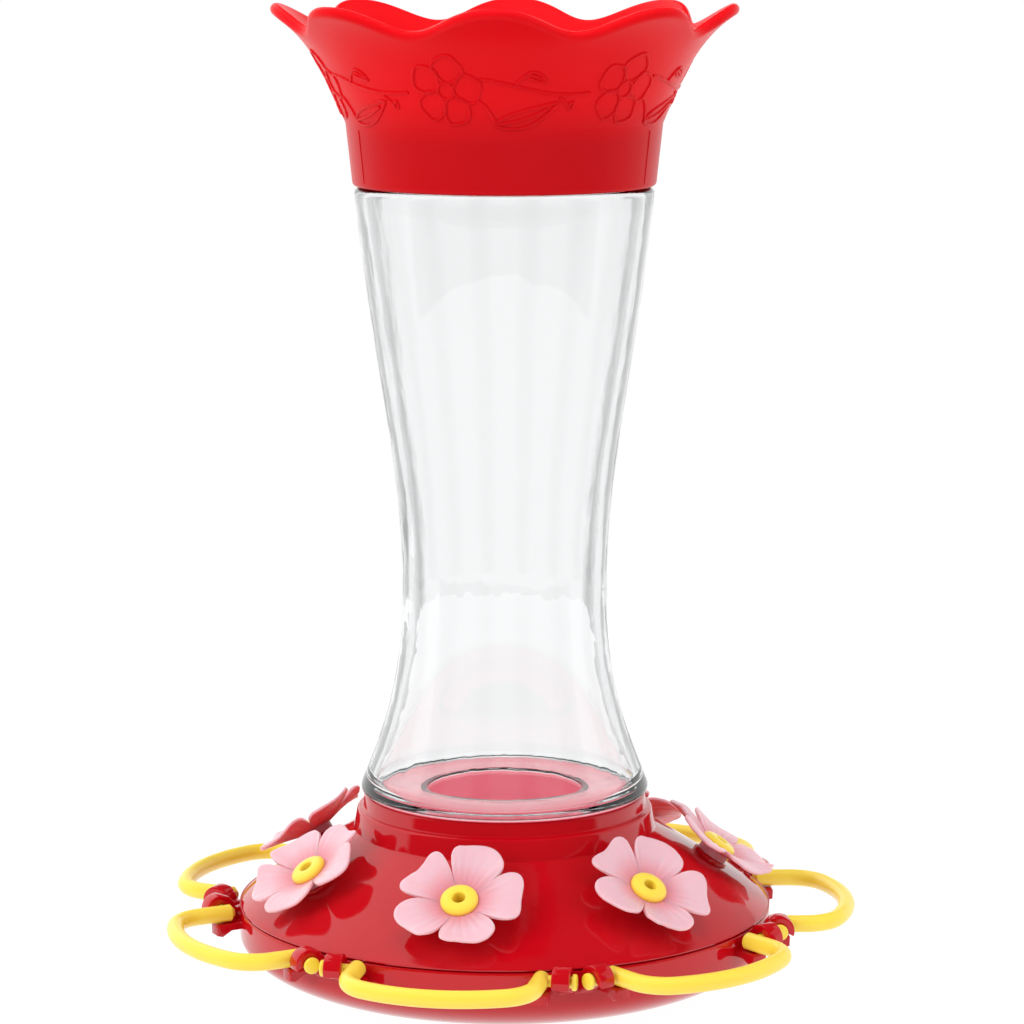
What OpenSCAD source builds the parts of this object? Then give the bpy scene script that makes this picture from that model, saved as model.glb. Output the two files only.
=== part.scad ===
// Hummingbird feeder: a waisted glass bottle stands in a red round base with seven flower ports
// and seven clip-on perches. A scalloped red crown closes the top and holds the hanging eye.
// The feeder stands on the bowl's flat foot at z = 0, and its front looks along -Y.

/* [Bowl] */
// Outer radius of the rim where bowl and cover meet
rim_r = 77.4; // [75:0.2:82]
// Height of the bowl from its foot to its rim
bowl_h = 20.5; // [19:0.5:23]
// Radius of the flat foot
foot_r = 55; // [50:0.5:60]
// Thickness of the bowl's wall and floor
bowl_wall = 2.4; // [2:0.1:3]
// Height of the upright band below the rim
rim_band = 8; // [7:0.1:9]
// Width of the ledge that carries the base seal
seal_w = 3.2; // [2.4:0.1:4]
// Thickness of the base seal
seal_t = 1.7; // [1.2:0.1:2]

/* [Cover] */
// Thickness of the cover's shell
cover_wall = 2.3; // [1.8:0.1:3]
// Height of the sloping shell, from the rim to the foot of the collar
slope_h = 22.5; // [20:0.5:26]
// Radius of the collar at its foot
collar_r = 44; // [43:0.2:46]
// Height of the collar's wall
collar_h = 5.9; // [5:0.1:8]
// Radius of the raised lip under the bottle
lip_r = 40.8; // [40:0.2:41.6]
// Height of the raised lip above the collar
lip_h = 4.3; // [3:0.1:6]

/* [Flowers and ports] */
// Number of ports, each with its own flower and perch
stations = 7; // [6:1:8]
// Turn of the first station away from the front
first_station = -11.4; // [-20:0.1:20]
// Distance of the port's foot inside the middle of the slope, halfway from rim to collar
port_shift = 0.7; // [-1:0.1:2]
// Lean of the port's axis away from upright
port_lean = 35; // [30:1:38]
// Radius of the port's neck
neck_r = 3; // [2.6:0.1:3.4]
// Radius of the feeding hole
feed_r = 1.8; // [1.5:0.1:2]
// Radius of the yellow dome
dome_r = 5.3; // [5:0.1:6]
// Height of the yellow dome
dome_h = 2.3; // [1.8:0.1:3]
// Reach of the petal tips beyond half the way from rim to collar
petal_over = 1.7; // [-0.7:0.1:2.1]
// Radius at which the slits between petals end
slit_r = 6.4; // [6:0.1:8]
// Thickness of a petal
petal_t = 1.1; // [0.9:0.1:1.5]
// Rise of the petal tips above the flower's centre
petal_rise = 3.1; // [1.5:0.1:4]
// Height of the boss under the petals
boss_h = 2; // [1.4:0.1:3]

/* [Perches] */
// Radius of the perch rod
rod_r = 2.45; // [2.2:0.05:2.6]
// Radius of the journal that turns in the hook
journal_r = 1.6; // [1.3:0.1:1.8]
// Distance of the perch's hinge line beyond the bowl's rim
hinge_out = 0.1; // [0:0.1:1.5]
// Depth of the hinge line below the bowl's rim
hinge_drop = 0.9; // [0.6:0.1:1.4]
// Reach of the rod's middle line beyond the hinge line
perch_reach = 22.6; // [20:0.2:26]
// Radius of the perch's two corners
perch_corner_r = 11; // [9:0.5:12]
// Radius of the long front bow
perch_bow_r = 45; // [42:1:52]
// Width of a hook along the hinge line
hook_w = 5; // [4:0.1:5.4]
// Thickness of a hook
hook_t = 2.4; // [2:0.1:2.8]

/* [Bottle] */
// Radius of the bottle's foot
bottle_foot_r = 41.7; // [41:0.1:43]
// Radius of the waist
waist_r = 29.6; // [27:0.2:32]
// Height of the waist above the foot
waist_h = 59; // [54:0.5:66]
// Radius of the shoulder under the crown
shoulder_r = 42.7; // [42:0.1:43.4]
// Height of the bottle from its foot to its shoulder
bottle_h = 175.4; // [165:0.5:190]
// Thickness of the glass
glass_t = 3.4; // [2.8:0.1:4.2]
// Outer radius of the neck that screws into the collar
mouth_r = 24; // [22:0.2:25]
// Length of the neck
mouth_l = 12.6; // [10:0.2:13.5]
// Radius of the stub that the crown screws onto
stub_r = 28; // [26:0.2:30]
// Length of the stub
stub_l = 11.7; // [10:0.1:14]

/* [Crown] */
// Radius of the crown's skirt at the foot
skirt_r = 43.1; // [42.4:0.1:44]
// Height of the skirt
skirt_h = 18.2; // [17:0.1:21]
// Radius of the crown at the lobe tips
crown_r = 66.2; // [63:0.2:69]
// Height of the flared bell above the skirt
bell_h = 33; // [30:0.5:38]
// Thickness of the crown's wall
crown_wall = 2.6; // [2.2:0.1:3]
// Number of lobes round the rim
lobes = 8; // [6:1:10]
// Depth of the scallops between the lobes
scallop_d = 6.2; // [4:0.2:8]
// Turn of the first scallop away from the front
first_scallop = -25.2; // [-45:0.1:45]
// Radius of the hole in the hanging eye
eye_r = 3.5; // [3:0.1:4]
// Thickness of the hanging eye
eye_t = 5; // [4:0.1:7]

/* [Fits] */
// Running gap between pieces that turn or lift apart
gap = 0.3; // [0.2:0.05:0.4]
// Radial clearance of a pressed neck in its hole
press_gap = 0.1; // [0.05:0.01:0.2]

/* [Hidden] */
$fn = 96;

red = [0.80, 0.05, 0.10];
bright_red = [0.92, 0.10, 0.13];
pink = [0.98, 0.74, 0.78];
yellow = [0.98, 0.84, 0.20];
clear = [0.86, 0.91, 0.92, 0.4];
seal_grey = [0.80, 0.80, 0.78];

// Points along a smooth curve from a to d, pulled towards b and c
function curve(a, b, c, d, n) = [for (i = [0:n]) let (t = i / n, s = 1 - t)
    s * s * s * a + 3 * s * s * t * b + 3 * s * t * t * c + t * t * t * d];

// The same outline walked the other way
function reversed(points) = [for (i = [len(points) - 1:-1:0]) points[i]];

// Angle of a station, counted from the front towards +X
station_angle = 360 / stations;
function station_turn(i) = first_station + (i - 1) * station_angle;

// Bowl levels
band_z = bowl_h - rim_band;
ledge_t = 1.8;
skirt_out = rim_r - bowl_wall - gap;
skirt_in = rim_r - bowl_wall - seal_w;

// Cover levels, from the seam upwards
seam_z = bowl_h + gap;
skirt_z = band_z + seal_t + gap;
collar_z = seam_z + slope_h;
shelf_z = collar_z + collar_h;
lip_z = shelf_z + lip_h;
collar_fillet = 3;
collar_draft = 1.2;
plate_t = 3;
plate_z = lip_z - 1;
socket_r = mouth_r + gap;
socket_wall = 2.8;
gasket_t = 1.6;
mouth_wall = 4;
drain_r = mouth_r - mouth_wall - 1;

// Bottle levels
foot_z = lip_z + gap;
mouth_z = foot_z - mouth_l;
waist_z = foot_z + waist_h;
shoulder_z = foot_z + bottle_h;
stub_z = shoulder_z + stub_l;
gasket_z = mouth_z - gap - gasket_t;
socket_floor = 2;
foot_pull = waist_h / 2.95;
waist_pull = waist_h / 2.46;
shoulder_pull = (bottle_h - waist_h) / 2.155;

// Crown levels
crown_z = shoulder_z + gap;
bell_z = crown_z + skirt_h;
crown_top = bell_z + bell_h;
moat_floor = 2.6;
crown_gasket_t = 2;
moat_z = stub_z + gap + crown_gasket_t;
bell_foot_r = skirt_r + 2;

// Port seat, measured along the port's own leaning axis
port_r = (rim_r + collar_r) / 2 - port_shift;
petal_r = (rim_r - collar_r) / 2 + petal_over;
socket_h = 1;
petal_z = socket_h + boss_h;
boss_r = neck_r + 1.6;
hub_r = dome_r + gap;
dome_z = petal_z + petal_t;

// Perch hinge: hooks and rod ends keep fixed distances from the plane between two stations
half_turn = station_angle / 2;
hinge_r = rim_r + hinge_out;
hook_offset = 5;
lead_offset = 10.4;
hook_x = (hinge_r * sin(half_turn) - hook_offset) / cos(half_turn);
lead_x = (hinge_r * sin(half_turn) - lead_offset) / cos(half_turn);
hinge_z = bowl_h - hinge_drop;
rod_end = 2.4;
rod_chamfer = 1.2;
flange_t = 1.2;
flange_r = journal_r + 0.7;
hook_in = journal_r + gap;
hook_out = hook_in + hook_t;
tab_t = 1.8;
tab_reach = 3.5;
arm_depth = 6.2;
tab_depth = 5.8;
root_w = 10;
root_t = 2.6;
root_h = 4.4;

// Middle line of a perch: two straight leads, two corners and one long bow
corner_x = lead_x - perch_corner_r;
corner_y = perch_reach - perch_bow_r
    + sqrt(pow(perch_bow_r - perch_corner_r, 2) - pow(corner_x, 2));
corner_turn = atan2(corner_y - perch_reach + perch_bow_r, corner_x);

// Puts a piece at a station; it is drawn facing the front
module at_station(i) {
    rotate([0, 0, station_turn(i)]) children();
}

// Stands a piece on the cover's slope, with its axis along the port
module on_slope() {
    translate([0, -port_r, port_z]) rotate([port_lean, 0, 0]) children();
}

// Outer line of the sloping shell, from the rim up to the collar
shell_out = curve([rim_r, seam_z], [rim_r - 0.4, seam_z + 0.05 * slope_h],
    [collar_r + 22, seam_z + 0.37 * slope_h], [collar_r + collar_fillet, collar_z - 2.3], 12);
// Inner line of the same shell
shell_in = curve([skirt_in, seam_z + cover_wall], [skirt_in - 3, seam_z + 3.6],
    [collar_r + 18, seam_z + 8.2], [collar_r + collar_fillet - 1.3, collar_z - 2.3 - 0.87 * cover_wall], 10);

// Height of the shell's outer line at the port's foot
port_z = lookup(port_r, reversed(shell_out));

module bowl_profile() {
    polygon(concat(
        [[0, 0]],
        curve([foot_r, 0], [foot_r + 13, 1.8], [rim_r, band_z - 5], [rim_r, band_z], 12),
        [[rim_r, bowl_h - 0.6], [rim_r - 0.6, bowl_h], [rim_r - bowl_wall, bowl_h],
            [rim_r - bowl_wall, band_z], [skirt_in - gap, band_z],
            [skirt_in - gap, band_z - ledge_t]],
        curve([skirt_in - gap, band_z - ledge_t], [skirt_in - 1, band_z - 6],
            [foot_r + 9, bowl_wall + 1], [foot_r - 2, bowl_wall], 10),
        [[0, bowl_wall]]));
}

// Section of a hook across the hinge line: x runs outwards and y upwards
module hook_profile() {
    difference() {
        union() {
            circle(r = hook_out);
            polygon([[0, hook_out], [-2.4, hook_out], [-4.4, hook_out - 1.8], [-4.4, 0.4],
                [-arm_depth, 0], [-arm_depth, -4.4], [-4, -4.4], [0, -2.6]]);
        }
        circle(r = hook_in);
        polygon([[0, 0], [hook_out + 1, -1.6], [hook_out + 1, -hook_out - 2],
            [-1.6, -hook_out - 2]]);
    }
}

// Turns a section so that it lies across the hinge line and is as thick as w along it
module along_hinge(w) {
    rotate([90, 0, -90]) linear_extrude(height = w, center = true) children();
}

// Two hooks with their stop tabs, at the two ends of one perch
module perch_clips() {
    translate([0, -hinge_r, hinge_z]) for (side = [-1, 1]) {
        translate([side * hook_x, 0, 0]) along_hinge(hook_w) hook_profile();
        translate([side * lead_x, 0, 0]) along_hinge(hook_w)
            polygon([[-tab_depth, -rod_r - gap], [tab_reach, -rod_r - gap],
                [tab_reach, -rod_r - gap - tab_t], [-tab_depth, -rod_r - gap - tab_t]]);
    }
}

// Root of a bracket: the block on the rim that carries the hooks of two neighbouring perches
module bracket_root() {
    rotate([0, 0, half_turn]) translate([-root_w / 2, -rim_r - root_t, hinge_z - 0.4 - root_h])
        cube([root_w, root_t + bowl_wall / 2, root_h]);
}

module bowl() {
    color(red) {
        rotate_extrude() bowl_profile();
        for (i = [1:stations]) at_station(i) {
            perch_clips();
            bracket_root();
        }
    }
}

module base_seal() {
    color(seal_grey) translate([0, 0, band_z]) difference() {
        cylinder(r = skirt_out, h = seal_t);
        translate([0, 0, -1]) cylinder(r = skirt_in + gap, h = seal_t + 2);
    }
}

module cover_profile() {
    polygon(concat(
        [[skirt_in, skirt_z], [skirt_out, skirt_z], [skirt_out, seam_z]],
        shell_out,
        curve([collar_r + 1.6, collar_z - 1.4], [collar_r + 0.8, collar_z - 0.8],
            [collar_r + 0.2, collar_z], [collar_r, collar_z + 1], 4),
        [[collar_r - collar_draft, shelf_z - 0.5], [collar_r - collar_draft - 0.5, shelf_z],
            [lip_r + 0.7, shelf_z], [lip_r, shelf_z + 0.7],
            [lip_r, lip_z - 0.6], [lip_r - 0.6, lip_z],
            [lip_r - 3.4, lip_z], [lip_r - 3.4, plate_z], [socket_r, plate_z],
            [socket_r, gasket_z], [drain_r, gasket_z], [drain_r, gasket_z - socket_floor],
            [socket_r + socket_wall, gasket_z - socket_floor],
            [socket_r + socket_wall, plate_z - plate_t], [lip_r - 2.6, plate_z - plate_t],
            [lip_r - 2.6, shelf_z - cover_wall], [collar_r - collar_draft - 1.9, shelf_z - cover_wall],
            [collar_r - cover_wall, collar_z]],
        reversed(shell_in)));
}

module cover() {
    color(red) difference() {
        union() {
            rotate_extrude() cover_profile();
            for (i = [1:stations]) at_station(i) on_slope()
                translate([0, 0, -1.5]) cylinder(r = boss_r + 0.9, h = socket_h + 1.5);
        }
        for (i = [1:stations]) at_station(i) on_slope()
            translate([0, 0, -8]) cylinder(r = neck_r + press_gap, h = 16);
    }
}

module bottle_gasket() {
    color(seal_grey) translate([0, 0, gasket_z]) difference() {
        cylinder(r = mouth_r, h = gasket_t);
        translate([0, 0, -1]) cylinder(r = mouth_r - mouth_wall, h = gasket_t + 2);
    }
}

// Outer line of the glass from foot to shoulder, drawn in by t all round for the inside
function glass_line(t) = concat(
    curve([bottle_foot_r - t, foot_z + 2.3], [bottle_foot_r - t - 7.4, foot_z + foot_pull],
        [waist_r - t, waist_z - waist_pull], [waist_r - t, waist_z], 14),
    curve([waist_r - t, waist_z + 3], [waist_r - t, waist_z + 1.5 * waist_pull],
        [shoulder_r - t - 5.6, shoulder_z - shoulder_pull], [shoulder_r - t, shoulder_z - 2], 18));

// Wall of the glass from the flat foot to the shoulder
module bottle_profile() {
    polygon(concat(
        [[mouth_r - mouth_wall, foot_z], [bottle_foot_r - 1.8, foot_z], [bottle_foot_r - 0.5, foot_z + 0.6]],
        glass_line(0),
        [[shoulder_r - 0.6, shoulder_z - 0.6], [shoulder_r - 2.4, shoulder_z],
            [stub_r - glass_t, shoulder_z], [stub_r - glass_t, shoulder_z - glass_t],
            [shoulder_r - glass_t - 2.5, shoulder_z - glass_t]],
        reversed([for (p = glass_line(glass_t)) if (p[1] < shoulder_z - glass_t - 2
            && p[1] > foot_z + glass_t + 1.5) p]),
        [[bottle_foot_r - glass_t - 3.2, foot_z + glass_t + 0.2], [mouth_r - mouth_wall + 1.4, foot_z + glass_t - 0.4],
            [mouth_r - mouth_wall, foot_z + glass_t - 1.8]]));
}

// The glass is one piece. Its neck and its stub are drawn as solids of their own, face to face with the wall.
module bottle() {
    color(clear) rotate_extrude() bottle_profile();
}

module bottle_neck() {
    color(clear) rotate_extrude() polygon([[mouth_r - mouth_wall, mouth_z], [mouth_r - 0.8, mouth_z],
        [mouth_r, mouth_z + 0.8], [mouth_r, foot_z], [mouth_r - mouth_wall, foot_z]]);
}

module bottle_stub() {
    color(clear) rotate_extrude() polygon([[stub_r - glass_t, shoulder_z], [stub_r, shoulder_z],
        [stub_r, stub_z - 1], [stub_r - 1, stub_z], [0, stub_z], [0, stub_z - glass_t],
        [stub_r - glass_t, stub_z - glass_t]]);
}

module crown_gasket() {
    color(seal_grey) translate([0, 0, moat_z - crown_gasket_t]) difference() {
        cylinder(r = stub_r - 0.4, h = crown_gasket_t);
        translate([0, 0, -1]) cylinder(r = stub_r - 6, h = crown_gasket_t + 2);
    }
}

// Outer line of the bell from the skirt to the lobe tips, drawn in by t for the inside
function bell_line(t) = curve([bell_foot_r - t, bell_z], [bell_foot_r + 4.4 - t, bell_z + 0.32 * bell_h],
    [bell_foot_r + 8.4 - 0.8 * t, bell_z + 0.67 * bell_h + 0.5 * t],
    [crown_r - 0.7 * t, bell_z + 0.97 * bell_h + 0.8 * t], 14);

module crown_profile() {
    polygon(concat(
        [[skirt_r - crown_wall, crown_z], [skirt_r - 1.4, crown_z], [skirt_r - 0.4, crown_z + 0.4],
            [skirt_r, crown_z + 1.4]],
        bell_line(0),
        reversed(bell_line(crown_wall)),
        [[bell_foot_r - crown_wall - 0.4, moat_z + moat_floor + 1.5],
            [bell_foot_r - crown_wall - 2, moat_z + moat_floor], [0, moat_z + moat_floor], [0, moat_z],
            [stub_r + gap, moat_z], [stub_r + gap, crown_z + 2], [stub_r + gap + 2.8, crown_z + 2],
            [stub_r + gap + 2.8, moat_z], [skirt_r - crown_wall + 1, moat_z]]));
}

// One scallop between two lobes: a soft wave that is cut down into the rim
module scallop_cutter() {
    half_w = crown_r * sin(180 / lobes);
    wave_n = 20;
    wave = [for (k = [0:wave_n]) let (x = -half_w + 2 * half_w * k / wave_n)
        [x, crown_top - scallop_d * (1 + cos(180 * x / half_w)) / 2]];
    translate([0, -bell_foot_r, 0]) rotate([90, 0, 0])
        linear_extrude(height = crown_r) polygon(concat(wave, [[half_w, crown_top + 9], [-half_w, crown_top + 9]]));
}

// Post with the hanging eye, standing in the middle of the moat
module hanging_post() {
    post_z = moat_z + moat_floor;
    eye_z = crown_top - scallop_d - eye_r - 5.6;
    difference() {
        union() {
            translate([0, 0, post_z - 1]) cylinder(r1 = 9, r2 = 6, h = eye_z - post_z - 3);
            translate([0, 0, eye_z]) rotate([90, 0, 0]) cylinder(r = eye_r + 4.6, h = eye_t, center = true);
        }
        translate([0, 0, eye_z]) rotate([90, 0, 0]) cylinder(r = eye_r, h = 4 * eye_t, center = true);
    }
}

module crown() {
    color(bright_red) {
        difference() {
            rotate_extrude() crown_profile();
            for (k = [0:lobes - 1]) rotate([0, 0, first_scallop + k * 360 / lobes]) scallop_cutter();
        }
        hanging_post();
    }
}

// Flower: five soft petals round a boss. Each petal is walked from slit to slit.
petals = 5;
petal_steps = [-1, -0.9, -0.65, -0.33, 0, 0.33, 0.65, 0.9];
petal_turns = [39, 7, 40, 5, 58, 25, 343];

// Radius of a petal's edge at u, from -1 at one slit to 1 at the next
function petal_edge(u) = slit_r + (petal_r - slit_r) * sqrt(1 - pow(abs(u), 3)) * (1 - 0.03 * cos(270 * u));

// Height of a petal's upper face: it rises, rolls over at the tip and curls along its edges
function petal_height(r, u) = let (q = (r - hub_r) / (petal_r - hub_r))
    q <= 0 ? dome_z
    : dome_z + petal_rise * (1.5 * q - 0.5 * q * q * q) + 1.1 * q * q * u - 0.9 * q * q * cos(180 * u);

// Closed section through the flower at one angle, from the bore outwards and back
function petal_section(u) = let (
        edge = petal_edge(u),
        rings = [for (f = [0, 0.4, 0.72]) hub_r + (edge - 0.4 - hub_r) * f],
        bore = neck_r + press_gap)
    concat(
        [[bore, dome_z]],
        [for (r = rings) [r, petal_height(r, u)]],
        [[edge - 0.4, petal_height(edge - 0.4, u)], [edge, petal_height(edge, u) - petal_t / 2],
            [edge - 0.4, petal_height(edge - 0.4, u) - petal_t]],
        [for (k = [2:-1:0]) [rings[k], petal_height(rings[k], u) - petal_t]],
        [[boss_r, socket_h], [bore, socket_h]]);

module flower_body() {
    step = 360 / petals;
    sections = [for (p = [0:petals - 1]) for (u = petal_steps)
        let (a = p * step + step * (u + 1) / 2)
        [for (q = petal_section(u)) [q[0] * cos(a), q[0] * sin(a), q[1]]]];
    n = len(sections);
    m = len(sections[0]);
    polyhedron(
        points = [for (s = sections) for (q = s) q],
        faces = [for (i = [0:n - 1]) for (j = [0:m - 1])
            let (a = i * m + j, b = i * m + (j + 1) % m, c = ((i + 1) % n) * m + (j + 1) % m,
                d = ((i + 1) % n) * m + j)
            for (f = [[c, b, a], [d, c, a]]) f],
        convexity = 8);
}

module flower(i) {
    color(pink) at_station(i) on_slope()
        rotate([0, 0, petal_turns[(i - 1) % len(petal_turns)]]) flower_body();
}

// Yellow port: a dome with the feeding hole, on a neck that goes down through flower and cover
module port(i) {
    neck_z = -cover_wall - 3.2;
    color(yellow) at_station(i) on_slope() rotate_extrude() polygon(concat(
        [[feed_r, neck_z], [neck_r - 0.5, neck_z], [neck_r, neck_z + 0.5], [neck_r, dome_z + gap / 3]],
        [[dome_r - 0.6, dome_z + gap / 3]],
        curve([dome_r, dome_z + 0.8], [dome_r - 0.3, dome_z + 0.8 * dome_h],
            [dome_r - 1.6, dome_z + dome_h], [feed_r + 1, dome_z + dome_h], 6),
        [[feed_r, dome_z + dome_h - 0.7]]));
}

// Middle line of the rod from one chamfered tip to the other, as [x, y, turn of the section, radius]
function arc_stops(x, y, r, from, to, n) = [for (k = [0:n])
    let (a = from + (to - from) * k / n) [x + r * cos(a), y + r * sin(a), a, rod_r]];
half_rod = concat(
    [[lead_x, rod_end, 0, rod_r - rod_chamfer], [lead_x, rod_end - rod_chamfer, 0, rod_r]],
    arc_stops(corner_x, -corner_y, perch_corner_r, 0, -corner_turn, 5),
    [for (k = [1:3]) let (a = -corner_turn - (90 - corner_turn) * k / 4)
        [perch_bow_r * cos(a), perch_bow_r - perch_reach + perch_bow_r * sin(a), a, rod_r]]);
rod_stops = concat(half_rod, [[0, -perch_reach, -90, rod_r]],
    [for (s = reversed(half_rod)) [-s[0], s[1], -180 - s[2], s[3]]]);
rod_sides = 12;

// The round rod, swept along its middle line
module perch_rod() {
    n = len(rod_stops);
    m = rod_sides;
    polyhedron(
        points = [for (s = rod_stops) for (k = [0:m - 1])
            let (b = 360 * k / m, w = s[3] * cos(b))
            [s[0] + w * cos(s[2]), s[1] + w * sin(s[2]), s[3] * sin(b)]],
        faces = concat(
            [[for (k = [0:m - 1]) k]],
            [for (i = [0:n - 2]) for (k = [0:m - 1])
                let (a = i * m + k, b = i * m + (k + 1) % m, c = b + m, d = a + m)
                for (f = [[c, b, a], [d, c, a]]) f],
            [[for (k = [m - 1:-1:0]) (n - 1) * m + k]]),
        convexity = 6);
}

module perch(i) {
    journal_l = hook_x + hook_w / 2 + gap - lead_x;
    color(yellow) at_station(i) translate([0, -hinge_r, hinge_z]) {
        perch_rod();
        for (side = [0, 1]) mirror([side, 0, 0]) translate([lead_x, 0, 0]) rotate([0, 90, 0]) {
            cylinder(r = journal_r, h = journal_l + flange_t);
            translate([0, 0, journal_l]) cylinder(r = flange_r, h = flange_t);
        }
    }
}

bowl();
base_seal();
cover();
bottle_gasket();
bottle();
bottle_neck();
bottle_stub();
crown_gasket();
crown();
for (i = [1:stations]) {
    flower(i);
    port(i);
    perch(i);
}
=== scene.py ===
# %% [markdown]
# # A hummingbird feeder
# A clear glass bottle stands mouth down in a round red base. Seven pink flowers with yellow feeding ports
# sit on the base, seven yellow perches hang in clips on its rim, and a scalloped red crown closes the
# top. The frame brings the feeder's solids at their real size. This notebook dresses them: each section
# makes one piece, gives it a finish, and lets it ride on the body that it belongs to.

# %% Load the frame
import math

import bmesh
import bpy
from mathutils import Matrix, Vector


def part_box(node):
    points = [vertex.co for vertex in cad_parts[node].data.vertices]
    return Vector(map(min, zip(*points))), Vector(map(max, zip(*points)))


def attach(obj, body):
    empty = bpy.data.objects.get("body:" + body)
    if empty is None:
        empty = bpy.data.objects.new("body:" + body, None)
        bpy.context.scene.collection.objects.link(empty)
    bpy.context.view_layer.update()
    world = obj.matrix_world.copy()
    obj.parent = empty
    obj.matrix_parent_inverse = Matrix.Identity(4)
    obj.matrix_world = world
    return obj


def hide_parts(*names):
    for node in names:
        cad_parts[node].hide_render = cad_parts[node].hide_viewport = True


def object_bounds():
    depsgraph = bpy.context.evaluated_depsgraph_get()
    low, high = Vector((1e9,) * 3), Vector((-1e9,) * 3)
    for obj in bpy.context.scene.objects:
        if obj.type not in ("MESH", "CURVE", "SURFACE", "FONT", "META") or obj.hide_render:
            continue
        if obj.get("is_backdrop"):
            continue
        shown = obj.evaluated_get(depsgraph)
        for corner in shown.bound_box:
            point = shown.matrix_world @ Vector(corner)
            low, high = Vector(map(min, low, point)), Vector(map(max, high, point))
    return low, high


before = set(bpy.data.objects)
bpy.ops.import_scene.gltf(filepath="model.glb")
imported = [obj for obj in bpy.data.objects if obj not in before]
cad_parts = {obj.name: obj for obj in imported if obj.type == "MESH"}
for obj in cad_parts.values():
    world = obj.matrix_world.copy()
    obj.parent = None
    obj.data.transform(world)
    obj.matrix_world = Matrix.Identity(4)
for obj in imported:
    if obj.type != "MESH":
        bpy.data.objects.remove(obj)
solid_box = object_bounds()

# %% [markdown]
# ## Sizes
# Every length below is in millimetres, as on a workshop drawing. The heights and radii that the frame
# knows are read from its solids, so that each piece lands where the solid is. `MM` turns a length into
# Blender's metres. The outlines further on keep their roundings and small steps beside each corner, where
# a drawing has them too.

# %% Sizes that the frame gives
MM = 0.001
glass_gap = 0.3
crown_over_stub = 39.8


def solid(node):
    """Lowest and highest corner of a solid, in millimetres."""
    low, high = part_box(node)
    return low / MM, high / MM


cover_low, cover_high = solid("cover")
rim_r, lip_z = cover_high.x, cover_high.z
shoulder_r = solid("bottle")[1].x
mouth_z = solid("bottle_neck")[0].z
stub_z = solid("bottle_stub")[1].z
crown_z = solid("crown")[0].z
foot_z = lip_z + glass_gap
shoulder_z = crown_z - glass_gap
crown_top = stub_z + crown_over_stub
print(f"radius {rim_r:.1f} at the rim, {shoulder_r:.1f} at the shoulder, {crown_top:.1f} mm high")

# %% Stations round the base
stations = 7
first_station = -11.4
station_angle = 360 / stations
half_turn = math.radians(station_angle / 2)


def station_turn(i):
    """Turn of a station about the feeder's axis, from the front towards +X, in radians."""
    return math.radians(first_station + (i - 1) * station_angle)


def each(kind):
    """The names of the seven solids of one kind."""
    return [f"{kind}_{i}" for i in range(1, stations + 1)]


print(f"{stations} stations, {station_angle:.1f} degrees apart")

# %% [markdown]
# ## Sums on sockets
# A material or a geometry tree is often a sum of a few fields: one mask plus another, times a strength.
# Wiring Math nodes by hand hides the sum. `Field` wraps one socket and lets Python's own operators add
# the Math nodes, and `Tree.add` makes any other node from its type, the values or links of its sockets,
# and its settings.


# %% A field
def both_ways(operation):
    """An operator's two methods: for field + other, and for other + field."""
    return (lambda self, other: self.tree.math(operation, self, other),
            lambda self, other: self.tree.math(operation, other, self))


class Field:
    """One output socket. A sum on it adds Math nodes to its tree."""

    def __init__(self, tree, socket):
        self.tree, self.socket = tree, socket

    def math(self, operation, *others):
        """A Math node with this field in its first socket."""
        return self.tree.math(operation, self, *others)

    __add__, __radd__ = both_ways("ADD")
    __sub__, __rsub__ = both_ways("SUBTRACT")
    __mul__, __rmul__ = both_ways("MULTIPLY")
    __truediv__, __rtruediv__ = both_ways("DIVIDE")
    __pow__, __rpow__ = both_ways("POWER")


# %% A tree
class Tree:
    """A node tree with one way to add nodes."""

    def __init__(self, nodes):
        self.nodes = nodes

    def socket(self, sockets, name):
        """Finds a socket by its number, its identifier or its name."""
        if isinstance(name, int):
            return sockets[name]
        return next((s for s in sockets if s.identifier == name), None) or sockets[name]

    def plug(self, target, value):
        """Gives a socket a value, a field, or a list of fields where it takes several."""
        for one in value if isinstance(value, list) else [value]:
            if isinstance(one, Field):
                self.nodes.links.new(one.socket, target)
            else:
                target.default_value = one

    def add(self, kind, sockets=None, out=0, **settings):
        """Adds a node, its settings first, and returns one of its outputs."""
        made = self.nodes.nodes.new(kind)
        for name, value in settings.items():
            setattr(made, name, value)
        for name, value in (sockets or {}).items():
            self.plug(self.socket(made.inputs, name), value)
        self.last = made
        return Field(self, self.socket(made.outputs, out)) if made.outputs else made

    def math(self, operation, *values):
        return self.add("ShaderNodeMath", dict(enumerate(values)), operation=operation)

    def other(self, field, name):
        """Another output of the node that made a field."""
        return Field(self, self.socket(field.socket.node.outputs, name))


# %% [markdown]
# ## Finishes
# All moulded parts share the same habits: the colour drifts a little where the plastic cooled at another
# pace, the gloss is not quite even, and the surface is never perfectly flat. A painted image could hold
# all that, but it would need an unwrapped mesh. Noise on Object coordinates needs none, stays on the
# piece from every side and has the real scale. `moulded` builds it once for all plastics.


# %% Nodes that every finish uses
def new_material(name):
    """An empty material with a Principled shader. Returns it, its tree and the shader."""
    material = bpy.data.materials.new(name)
    material.use_nodes = True
    material.node_tree.nodes.clear()
    tree = Tree(material.node_tree)
    shader = tree.add("ShaderNodeBsdfPrincipled")
    tree.add("ShaderNodeOutputMaterial", {"Surface": shader})
    return material, tree, shader.socket.node


def dress(tree, shader, **sockets):
    """Sets or links a shader's sockets; an underscore stands for a space."""
    for name, value in sockets.items():
        tree.plug(shader.inputs[name.replace("_", " ")], value)


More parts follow.
